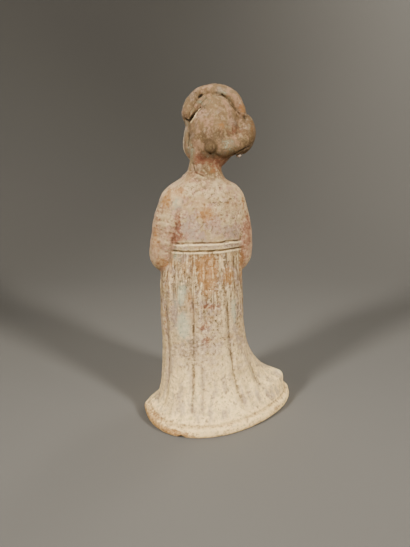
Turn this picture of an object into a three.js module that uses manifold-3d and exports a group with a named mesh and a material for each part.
// Moulded pottery tomb figure of a standing court lady in a long pleated skirt, one closed body.
// Millimetres, +Z up, face towards -Y, +X to the figure's own left. The origin is under the neck, on the underside.
import * as THREE from "three";
import { mergeVertices } from "three/addons/utils/BufferGeometryUtils.js";
import Module from "manifold-3d";

const wasm = await Module();
wasm.setup();

// Driving dimensions
const HEIGHT = 280;
const BASE_WIDTH = 141;
const BASE_DEPTH = 104;
const RIM_HEIGHT = 8;
const RIM_LEDGE = 3;
const BAND_WIDTH = 6.4;
const BAND_RISE = 0.9;
const PLEAT_DEPTH = 1.5;
const ROLL_THICKNESS = 10;
const LAPEL_THICKNESS = 6.4;
const LAPEL_RISE = 1.2;
const SHOE_WIDTH = 15;
const CHIP_WIDTH = 7;

// The free form is laid out on a scale of 280 parts to the height.
const parts = (n) => (n * HEIGHT) / 280;
const degrees = (n) => THREE.MathUtils.degToRad(n);
const bell = (x) => Math.exp(-x * x);
const LEFT = new THREE.Vector3(1, 0, 0);
const BACK = new THREE.Vector3(0, 1, 0);
const UP = new THREE.Vector3(0, 0, 1);

// Smooth step from 0 where x is from to 1 where x is to
function ease(from, to, x) {
  const t = THREE.MathUtils.clamp((x - from) / (to - from), 0, 1);
  return t * t * (3 - 2 * t);
}

// The lesser of two distances, rounded over a width where they meet
function blend(a, b, width) {
  const near = Math.max(width - Math.abs(a - b), 0) / width;
  return Math.min(a, b) - (near * near * width) / 4;
}

// Smooth function through two columns of a table, the first rising, level at both ends
function through(rows, column) {
  const slope = rows.map((row, i) => {
    if (i === 0 || i === rows.length - 1) return 0;
    const [below, above] = [rows[i - 1], rows[i + 1]];
    const before = (row[column] - below[column]) / (row[0] - below[0]);
    const after = (above[column] - row[column]) / (above[0] - row[0]);
    return before * after <= 0 ? 0 : (2 * before * after) / (before + after);
  });
  return (x) => {
    const last = rows.length - 1;
    if (x <= rows[0][0]) return rows[0][column];
    if (x >= rows[last][0]) return rows[last][column];
    const i = rows.findIndex((row) => row[0] > x) - 1;
    const span = rows[i + 1][0] - rows[i][0];
    const t = (x - rows[i][0]) / span;
    return (
      rows[i][column] * (1 + 2 * t) * (1 - t) ** 2 +
      rows[i + 1][column] * t * t * (3 - 2 * t) +
      span * (slope[i] * t * (1 - t) ** 2 - slope[i + 1] * t * t * (1 - t))
    );
  };
}

// The outermost place between two distances where a field turns from outside to inside
const SEARCH_STEP = parts(1.5);
const HALVINGS = 12;
function outermost(field, inner, outer) {
  let inside = outer;
  while (inside > inner && field(inside) > 0) inside -= SEARCH_STEP;
  let [low, high] = [Math.max(inside, inner), Math.max(inside, inner) + SEARCH_STEP];
  for (let i = 0; i < HALVINGS; i++) {
    const middle = (low + high) / 2;
    if (field(middle) > 0) high = middle;
    else low = middle;
  }
  return low;
}

// The hem's reach from the origin
const HEM = {
  left: 0.403 * BASE_WIDTH,
  right: 0.597 * BASE_WIDTH,
  back: 0.548 * BASE_DEPTH,
  front: 0.452 * BASE_DEPTH,
};
const SIDES = ["left", "right", "back", "front"];

// Exponents of the four quarters of a section, at the hem and from the knees up: 2 is an ellipse, less is leaner
const HEM_QUARTERS = { leftBack: 2.45, rightBack: 1.62, leftFront: 1.3, rightFront: 1.9 };
const SQUARENESS = 2.15;

// Height in parts, then the reach to the left, right, back and front in parts
const ROBE = [
  [60, 38.6, 38.8, 31, 29],
  [85, 39.4, 34.6, 28, 28],
  [115, 39.4, 33.2, 26.5, 27],
  [150, 35, 32, 24, 26],
  [168, 34, 32.5, 24, 26.5],
  [182, 33.6, 32.4, 23.5, 24.5],
  [192, 32.4, 31.4, 22, 21],
  [200, 28.8, 26.3, 19.5, 17],
  [207, 20, 16.2, 16, 13.8],
  [213, 14.4, 13.6, 13.2, 12.2],
  [219, 13, 12.6, 11.6, 11.6],
  [226, 11.4, 11.2, 9.6, 10.4],
];

// Height in parts, then how far the skirt has spread towards the hem's edge on each side, where 1 is the edge
const FLARE = [
  [15, 0.5, 0.95, 0.78, 0.7],
  [22, 0.26, 0.88, 0.56, 0.44],
  [27, 0.17, 0.67, 0.44, 0.3],
  [33, 0.13, 0.43, 0.32, 0.19],
  [45, 0.04, 0.18, 0.15, 0.08],
];

// The rounded edge of the hem: share of the rim's height, and inset in parts
const RIM_PROFILE = [
  [0, -1.6],
  [0.2, -0.4],
  [0.5, 0],
  [0.8, -0.5],
  [1, -1.6],
];

// Each pleat: angle at the waist and at the hem, upper and lower end in parts, depth as a share, width in parts
const PLEATS = [
  [9, 26, 118, 11, 0.8, 2.6],
  [26, 37, 142, 90, 0.7, 2.2],
  [51, 63, 130, 11, 1.1, 2.6],
  [60, 76, 62, 13, 0.5, 3],
  [118, 121, 122, 12, 1, 2.8],
  [124, 132, 62, 13, 0.6, 3],
  [166, 148, 60, 20, 1.1, 4],
  [-156, -152, 110, 14, 0.9, 3],
  [-130, -126, 140, 12, 1, 3],
  [-104, -103, 118, 12, 0.8, 3],
  [-78, -79, 110, 12, 0.8, 3],
  [-48, -52, 140, 12, 1, 3],
  [-22, -30, 120, 12, 0.9, 3],
];
const PLEAT_FOOT = 11;
const WAIST = 149.6;

function bodyRows() {
  const rim = RIM_PROFILE.map(([share, inset]) => [
    share * RIM_HEIGHT,
    ...SIDES.map((side) => HEM[side] + parts(inset)),
  ]);
  const ledge = [RIM_HEIGHT + parts(1.8), ...SIDES.map((side) => HEM[side] - RIM_LEDGE - parts(1.8))];
  const foot = ROBE[0];
  const flare = FLARE.map(([z, ...shares]) => [
    RIM_HEIGHT + parts(z - 8),
    ...shares.map((share, i) => parts(foot[i + 1]) + share * (ledge[i + 1] - parts(foot[i + 1]))),
  ]);
  return [...rim, ledge, ...flare, ...ROBE.map((row) => row.map(parts))];
}

const ROWS = bodyRows();
const reach = Object.fromEntries(SIDES.map((side, i) => [side, through(ROWS, i + 1)]));

// Smooth section: four quarters of a squared or leaner ellipse
function sectionRadius(angle, z) {
  const [c, s] = [Math.cos(angle), Math.sin(angle)];
  const wide = c > 0 ? reach.left(z) : reach.right(z);
  const deep = s > 0 ? reach.back(z) : reach.front(z);
  const quarter = HEM_QUARTERS[(c > 0 ? "left" : "right") + (s > 0 ? "Back" : "Front")];
  const power = quarter + (SQUARENESS - quarter) * ease(parts(20), parts(60), z);
  return (Math.abs(c / wide) ** power + Math.abs(s / deep) ** power) ** (-1 / power);
}

// How much higher the waistband lies at an angle than it does behind: it rises to the breast in front
const bandLift = (angle) => parts(14) * ease(0.05, -0.75, Math.sin(angle));

function turn(angle, from) {
  const d = angle - from;
  return d - 2 * Math.PI * Math.round(d / (2 * Math.PI));
}

// Pleats and band, as how far the surface stands out from the smooth section
function relief(angle, z, radius) {
  let out = 0;
  const fall = THREE.MathUtils.clamp((parts(WAIST) - z) / parts(WAIST - PLEAT_FOOT), 0, 1);
  for (const [top, hem, upper, lower, depth, width] of PLEATS) {
    const down = THREE.MathUtils.clamp((parts(upper) - z) / parts(upper - lower), 0, 1);
    const away = (turn(angle, degrees(top + (hem - top) * fall)) * radius) / parts(width);
    const fade = ease(0, 0.25, down) * ease(1, 0.93, down);
    out -= PLEAT_DEPTH * depth * fade * (bell(away) - 0.3 * bell((Math.abs(away) - 2) / 1.2));
  }
  const foot = parts(WAIST) + bandLift(angle);
  if (z > foot && z < foot + BAND_WIDTH) out += BAND_RISE;
  return out;
}

// Stations [x, y, z, radius] in parts, as a smooth curve and as a thickness along it
function curve(stations) {
  const places = stations.map(([x, y, z]) => new THREE.Vector3(x, y, z).multiplyScalar(parts(1)));
  return new THREE.CatmullRomCurve3(places, false, "catmullrom");
}
const thickness = (stations) => through(stations.map((s, i) => [i / (stations.length - 1), parts(s[3])]), 1);

// Left shoulder, and the sleeve from it round the elbow to the joined hands, and the cloth that hangs from that
const SHOULDER = [
  [24.8, 0.5, 187.5, 12],
  [29.4, 2, 175, 12.4],
  [32, 2, 163, 10.8],
];
const SLEEVE = [
  [26.2, 1, 184, 10.4],
  [30, 2, 172, 12.4],
  [33.6, 2, 157, 13],
  [34.2, -3, 142.5, 13],
  [27, -16, 138.5, 12],
  [16, -28, 141.5, 11],
  [4, -34.5, 147, 9.6],
];
const DRAPE = [
  [31, -8, 131, 6],
  [25, -21, 124, 6.8],
  [15, -30.5, 118, 7],
  [6, -35, 116, 6.4],
];
const DRAPE_DROP = 2.2;

// The right side mirrors the left one about this distance from the origin, and its elbow hangs lower.
const MIDDLE = 2.8;
const ELBOW_SAG = 5;
const across = (stations) =>
  stations.map(([x, y, z, r]) => [2 * MIDDLE - x, y, z - ELBOW_SAG * bell((z - 139) / 7), r]);

const BEADS = 8;
function beads(stations) {
  const [path, radius] = [curve(stations), thickness(stations)];
  return Array.from({ length: BEADS + 1 }, (_, i) => ({ at: path.getPoint(i / BEADS), radius: radius(i / BEADS) }));
}

// Distance from a point to the skin over a row of beads
function beadDistance(row, point) {
  let least = Infinity;
  for (let i = 1; i < row.length; i++) {
    const [a, b] = [row[i - 1], row[i]];
    const span = b.at.clone().sub(a.at);
    const t = THREE.MathUtils.clamp(point.clone().sub(a.at).dot(span) / span.lengthSq(), 0, 1);
    const gap = a.at.clone().addScaledVector(span, t).distanceTo(point);
    least = Math.min(least, gap - THREE.MathUtils.lerp(a.radius, b.radius, t));
  }
  return least;
}

const SHOULDERS = [SHOULDER, across(SHOULDER)].map(beads);

// The body's reach from the axis: the robe's own, or the shoulders' where they stand out from it
function bodyRadius(angle, z) {
  const smooth = sectionRadius(angle, z);
  const robe = smooth + relief(angle, z, smooth);
  const soft = parts(2 + 6 * ease(parts(166), parts(190), z));
  const field = (r) => {
    const point = new THREE.Vector3(r * Math.cos(angle), r * Math.sin(angle), z);
    return blend(r - robe, Math.min(...SHOULDERS.map((row) => beadDistance(row, point))), soft);
  };
  return outermost(field, robe, parts(60));
}

// A three.js geometry with each vertex put where a function of its own place says
function shaped(geometry, place) {
  const position = geometry.attributes.position;
  const v = new THREE.Vector3();
  for (let i = 0; i < position.count; i++) {
    place(v.fromBufferAttribute(position, i));
    position.setXYZ(i, v.x, v.y, v.z);
  }
  return geometry;
}

function solid(geometry) {
  geometry.deleteAttribute("normal");
  geometry.deleteAttribute("uv");
  const merged = mergeVertices(geometry, 1e-3);
  const mesh = new wasm.Mesh({
    numProp: 3,
    vertProperties: merged.attributes.position.array,
    triVerts: new Uint32Array(merged.index.array),
  });
  return new wasm.Manifold(mesh);
}

// Levels of the body's rings, in millimetres: the table's rows up to the knees, then closer ones, and two at each
// edge of the band
const EDGE = parts(0.5);
const RINGS = [
  ...ROWS.map(([z]) => z).filter((z) => z <= parts(60)),
  ...[74, 88, 103, 118, 132, 143].map(parts),
  parts(WAIST) - EDGE,
  parts(WAIST) + EDGE,
  parts(WAIST) + BAND_WIDTH - EDGE,
  parts(WAIST) + BAND_WIDTH + EDGE,
  ...[164, 172, 180, 187, 192, 197, 201, 205, 209, 213, 219, 226].map(parts),
];

// Rings lie level except near the waistband, which they follow.
const ringHeight = (level, angle) =>
  level + bandLift(angle) * ease(parts(110), parts(146), level) * ease(parts(192), parts(160), level);

// Columns of the body's vertices, in degrees at the waist: one in each pleat, one at each side of it, then others
// where a gap is left, either at the waist or at the hem
const COLUMN_GAP = 2.2;
const FILL_GAP = 5;
const drift = through([...PLEATS, PLEATS[0]].map(([top, hem], i) => [i, hem - top]), 1);
function hemAngle(top) {
  const order = PLEATS.map((pleat) => (pleat[0] - PLEATS[0][0] + 360) % 360);
  const place = (top - PLEATS[0][0] + 720) % 360;
  const i = order.findLastIndex((start) => start <= place);
  const end = i + 1 < order.length ? order[i + 1] : 360;
  return top + drift(i + (place - order[i]) / (end - order[i]));
}

function columns() {
  const found = [];
  const between = (a, b) => Math.abs(turn(degrees(a), degrees(b)));
  const free = (a, gap) =>
    found.every((b) => Math.max(between(a, b), between(hemAngle(a), hemAngle(b)) - degrees(1)) > degrees(gap));
  for (const side of [0, -1, 1]) {
    for (const [top, , , , , width] of PLEATS) {
      const a = top + (side * width * 180) / (Math.PI * ROBE[2][1]);
      if (free(a, COLUMN_GAP)) found.push(a);
    }
  }
  for (let a = -180; a < 180; a++) if (free(a, FILL_GAP)) found.push(a);
  return found.map((a) => (a + 360) % 360).sort((a, b) => a - b);
}
const COLUMNS = columns();

function body() {
  const around = COLUMNS.length;
  const tube = new THREE.CylinderGeometry(1, 1, 1, around, RINGS.length - 1);
  return shaped(tube, (v) => {
    const level = RINGS[Math.round((v.y + 0.5) * (RINGS.length - 1))];
    const share = Math.min(1, Math.hypot(v.x, v.z));
    const column = Math.round((Math.atan2(v.x, v.z) / (2 * Math.PI)) * around);
    const top = COLUMNS[((column % around) + around) % around];
    const fall = THREE.MathUtils.clamp((parts(WAIST) - level) / parts(WAIST - PLEAT_FOOT), 0, 1);
    const angle = degrees(top + (hemAngle(top) - top) * fall);
    const z = ringHeight(level, angle);
    const radius = share * bodyRadius(angle, z);
    v.set(radius * Math.cos(angle), radius * Math.sin(angle), z);
  });
}

// A rope along its stations with domed ends, its round sections stretched along a direction if one is given
function rope(stations, around, along, stretch = new THREE.Vector3()) {
  const [path, radius] = [curve(stations), thickness(stations)];
  const frames = path.computeFrenetFrames(along);
  return shaped(new THREE.CapsuleGeometry(1, 2, 3, around, along), (v) => {
    const i = Math.round(THREE.MathUtils.clamp((v.y + 1) / 2, 0, 1) * along);
    const r = radius(path.getUtoTmapping(i / along));
    const dome = (v.y - THREE.MathUtils.clamp(v.y, -1, 1)) * r;
    const [side, rise] = [v.z * r, v.x * r];
    v.copy(frames.tangents[i]).multiplyScalar(dome);
    v.addScaledVector(frames.normals[i], side).addScaledVector(frames.binormals[i], rise);
    v.addScaledVector(stretch, v.dot(stretch)).add(path.getPointAt(i / along));
  });
}

// An egg [x, y, z, half-width, half-depth, half-height] in parts
function egg([x, y, z, a, b, c], around, rings) {
  return new THREE.SphereGeometry(1, around, rings)
    .rotateX(Math.PI / 2)
    .scale(parts(a), parts(b), parts(c))
    .translate(parts(x), parts(y), parts(z));
}

function eggDistance([x, y, z, a, b, c], point) {
  const p = point.clone().sub(new THREE.Vector3(x, y, z).multiplyScalar(parts(1)));
  const size = new THREE.Vector3(a, b, c).multiplyScalar(parts(1));
  const scaled = p.divide(size);
  const near = scaled.length();
  return (near * (near - 1)) / scaled.divide(size).length();
}

// Head, placed by its own centre, leaning to its right and turned a little to its left
const HEAD = new THREE.Matrix4()
  .makeTranslation(parts(-1), parts(-5), parts(239))
  .multiply(new THREE.Matrix4().makeRotationZ(degrees(6)))
  .multiply(new THREE.Matrix4().makeRotationY(degrees(-5)));
const SKULL = [-0.5, -1, 0, 17, 19.5, 24];
const CHEEK_SWELL = 0.1;

// Features of the face: place across and up, how far it stands out, and its half-width across and up, in parts
const FEATURES = [
  [0, 0, 1.3, 1.5, 4.5],
  [0, -6.2, 2.4, 2.1, 2.2],
  [2.2, -7.2, 0.7, 1.1, 1.2],
  [-2.2, -7.2, 0.7, 1.1, 1.2],
  [6.6, 1, -0.9, 4, 2.8],
  [-6.6, 1, -0.9, 4, 2.8],
  [6.6, 0.2, 1, 3, 1.3],
  [-6.6, 0.2, 1, 3, 1.3],
  [8.5, -7, 1, 5, 5.5],
  [-8.5, -7, 1, 5, 5.5],
  [0, -11.6, 0.9, 2.7, 0.9],
  [0, -13.8, 1, 2.2, 1],
  [0, -18.5, 1.5, 4.5, 3.2],
];

// Hair in the head's own frame: behind, at the nape, swept up from the brow, over the crown, and in a bun at the right
const HAIR = {
  back: [-5, 7, 4.5, 20.5, 18, 28.5],
  nape: [-1.4, 6, -14, 14.5, 11.5, 14],
  brow: [-0.5, -2, 16, 18.3, 18, 17],
  crown: [-3.5, 2, 21, 17, 14, 13],
  bun: [-27.7, 9.5, 5, 12, 11.5, 16.4],
};
const HAIR_BLEND = parts(3);
const EAR = [15.3, 0.5, -1, 2, 3.6, 6.4];

function headField(point) {
  const [x, , , a] = SKULL.map(parts);
  const front = ease(parts(-4), parts(-12), point.y);
  const cheek = 1 + CHEEK_SWELL * bell((point.z + parts(12)) / parts(9));
  const slim = new THREE.Vector3(x + (point.x - x) / cheek, point.y, point.z);
  const lift = FEATURES.reduce((sum, [fx, fz, height, wide, tall]) => {
    const share = bell((point.x - parts(fx)) / parts(wide)) * bell((point.z - parts(fz)) / parts(tall));
    return sum + parts(height) * share;
  }, 0);
  const face = eggDistance(SKULL, slim) - front * lift;
  const hair = Object.values(HAIR).reduce((sum, form) => blend(sum, eggDistance(form, point), HAIR_BLEND), a);
  return Math.min(face, hair);
}

// The head's skin from a middle inside it, with the rings closer together towards the face
const HEAD_MIDDLE = new THREE.Vector3(-2, 1, 1).multiplyScalar(parts(1));
const FACE_CROWDING = 1.35;
function head() {
  return shaped(new THREE.SphereGeometry(1, 32, 24), (v) => {
    const polar = Math.PI * (Math.acos(THREE.MathUtils.clamp(-v.y, -1, 1)) / Math.PI) ** FACE_CROWDING;
    const ring = Math.hypot(v.x, v.z);
    const wide = ring < 1e-6 ? 0 : Math.sin(polar) / ring;
    const ahead = new THREE.Vector3(v.x * wide, -Math.cos(polar), v.z * wide).normalize();
    const field = (r) => headField(HEAD_MIDDLE.clone().addScaledVector(ahead, r));
    v.copy(HEAD_MIDDLE).addScaledVector(ahead, outermost(field, 0, parts(45)));
  }).applyMatrix4(HEAD);
}

// In the figure's frame: the lock rolled from the nape up over the bun, and the knob at its end
const LOCK = [
  [-2, 16, 231.2, 6.2],
  [-12, 14.2, 231.6, 7.3],
  [-23, 10.5, 233.5, 8],
  [-30.5, 7, 239.5, 8],
  [-31, 5, 248, 6.6],
];
const KNOB = [1.8, 20, 229.6, 4.1, 3.8, 4.2];

// The thin lock along the left edge of the hair, under the roll
const STRAND = [
  [12.9, 2.2, 252.5, 1.3],
  [11.2, 4.6, 256.6, 2],
  [8.8, 6, 260.8, 2.2],
  [5.6, 6.6, 265, 2.1],
  [1.6, 6.4, 268.3, 1.8],
  [-3, 6.2, 270, 1.3],
];

// The roll over the crown, from above the left temple to the bun
const ROLL = [
  [12.4, -4.6, 257.8, 1.12],
  [10.6, -3.5, 264.2, 1.06],
  [4.6, -1, 270.9, 1],
  [-3.6, 1, 273.6, 0.98],
  [-12.6, 2.5, 273.4, 1.02],
  [-21.2, 4, 269.2, 1.06],
  [-26, 5, 262, 1],
  [-28.4, 5.5, 255.5, 0.94],
];
const ROLL_DEPTH = 1.35;

// Added to a section's own size, a vector whose square is the share by which the section grows along it
const stretched = (direction, share) => direction.clone().multiplyScalar(Math.sqrt(share - 1));

function hair() {
  const radius = ROLL_THICKNESS / 2 / parts(1);
  const roll = ROLL.map(([x, y, z, share]) => [x, y, z, share * radius]);
  const coil = rope(roll, 10, 14, stretched(BACK, ROLL_DEPTH));
  return [coil, rope(LOCK, 10, 8), rope(STRAND, 6, 6), egg(KNOB, 10, 8)];
}

// Lapels from the sides of the neck, where they start slim, down to the band in front
const LAPEL_STEPS = 7;
function lapel(side) {
  const [top, foot] = [parts(208), parts(WAIST + 12) + BAND_WIDTH];
  return Array.from({ length: LAPEL_STEPS + 1 }, (_, i) => {
    const t = i / LAPEL_STEPS;
    const angle = degrees(-90 + side * (5 + 66 * (1 - t) ** 1.5));
    const z = top + (foot - top) * t;
    const share = ease(-0.25, 0.3, t);
    const size = (share * LAPEL_THICKNESS) / 2;
    const radius = sectionRadius(angle, z) + share * LAPEL_RISE - size;
    return [radius * Math.cos(angle), radius * Math.sin(angle), z, size].map((n) => n / parts(1));
  });
}

// Toes of the shoes in front of the hem, broad and a little turned up
const SHOE_BREADTH = 1.35;
function toe(side) {
  const [half, edge] = [SHOE_WIDTH / 2 / SHOE_BREADTH / parts(1), -HEM.front / parts(1)];
  return [
    [11 * side, edge + 9, half * 0.8, half],
    [11.5 * side, edge + 1, half * 0.85, half * 0.96],
    [12 * side, edge - 3.2, half * 1.15, half * 0.74],
  ];
}

// Everything under the table top, and the chip in the underside of the hem
function below() {
  const depth = SHOE_WIDTH;
  return new THREE.BoxGeometry(3 * BASE_WIDTH, 3 * BASE_DEPTH, depth).translate(0, 0, -depth / 2);
}

const CHIP_ANGLE = degrees(57);
function chip() {
  const edge = sectionRadius(CHIP_ANGLE, 0) + parts(1);
  return new THREE.SphereGeometry(CHIP_WIDTH / 2, 10, 8)
    .scale(1, 1, 0.9)
    .translate(edge * Math.cos(CHIP_ANGLE), edge * Math.sin(CHIP_ANGLE), 0);
}

// Clay fills any pocket that the forms close in between them
function filled(whole) {
  const outer = whole.decompose().filter((shell) => shell.volume() > 0);
  return outer.reduce((sum, shell) => sum.add(shell));
}

function figure() {
  const ear = egg(EAR, 10, 8).applyMatrix4(HEAD);
  const sleeves = [SLEEVE, across(SLEEVE)].map((stations) => rope(stations, 14, 14));
  const drapes = [DRAPE, across(DRAPE)].map((stations) => rope(stations, 10, 5, stretched(UP, DRAPE_DROP)));
  const lapels = [1, -1].map((side) => rope(lapel(side), 6, 6));
  const shoes = [1, -1].map((side) => rope(toe(side), 10, 3, stretched(LEFT, SHOE_BREADTH)));
  const forms = [body(), head(), ear, ...hair(), ...sleeves, ...drapes, ...lapels, ...shoes];
  const whole = forms.map(solid).reduce((sum, form) => sum.add(form));
  return filled(whole).subtract(solid(below())).subtract(solid(chip()));
}

function meshOf(manifold, name, material) {
  const { vertProperties, triVerts } = manifold.getMesh();
  const geometry = new THREE.BufferGeometry()
    .setAttribute("position", new THREE.BufferAttribute(new Float32Array(vertProperties), 3))
    .setIndex(new THREE.BufferAttribute(new Uint32Array(triVerts), 1));
  geometry.computeVertexNormals();
  const mesh = new THREE.Mesh(geometry, material);
  mesh.name = name;
  return mesh;
}

const pottery = new THREE.MeshStandardMaterial({ color: 0xc9b090, roughness: 0.92, metalness: 0 });
const lady = new THREE.Group();
lady.add(meshOf(figure(), "figure", pottery));

export default lady;
